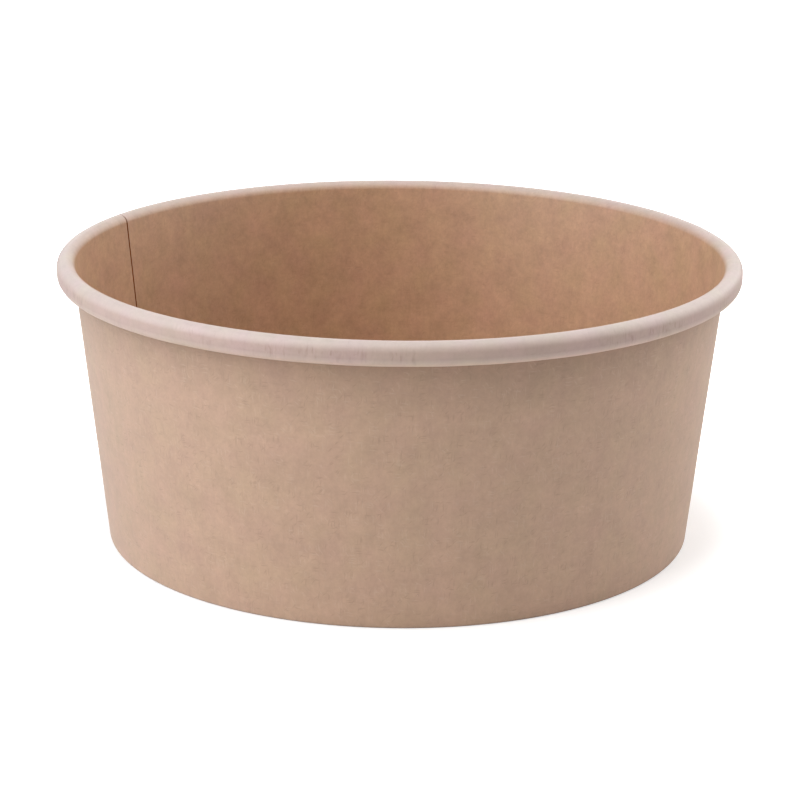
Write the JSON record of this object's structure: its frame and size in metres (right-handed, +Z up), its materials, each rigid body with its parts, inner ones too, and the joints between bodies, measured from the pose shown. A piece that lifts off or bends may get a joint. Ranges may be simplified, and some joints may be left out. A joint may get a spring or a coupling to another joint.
{
  "type": "kraft paper salad bowl",
  "caption": "Round takeaway bowl of kraft board with a lapped, flared wall, a rolled rim and a recessed base disc held in the folded foot.",
  "frame": {"origin": "middle of the foot, on the surface that the bowl stands on", "axes": "+Z up along the bowl's axis; the lap seam's inside edge lies 152.8 degrees anticlockwise from +X"},
  "size_m": [0.15, 0.15, 0.0631],
  "materials": {
    "wall_board": "matte uncoated brown kraft outside, thinly coated inside and on the rolled rim",
    "base_board": "brown kraft, thinly coated on the upper face"
  },
  "bodies": {
    "root": {"sidewall": "wall_board", "base_disc": "base_board"}
  },
  "joints": []
}
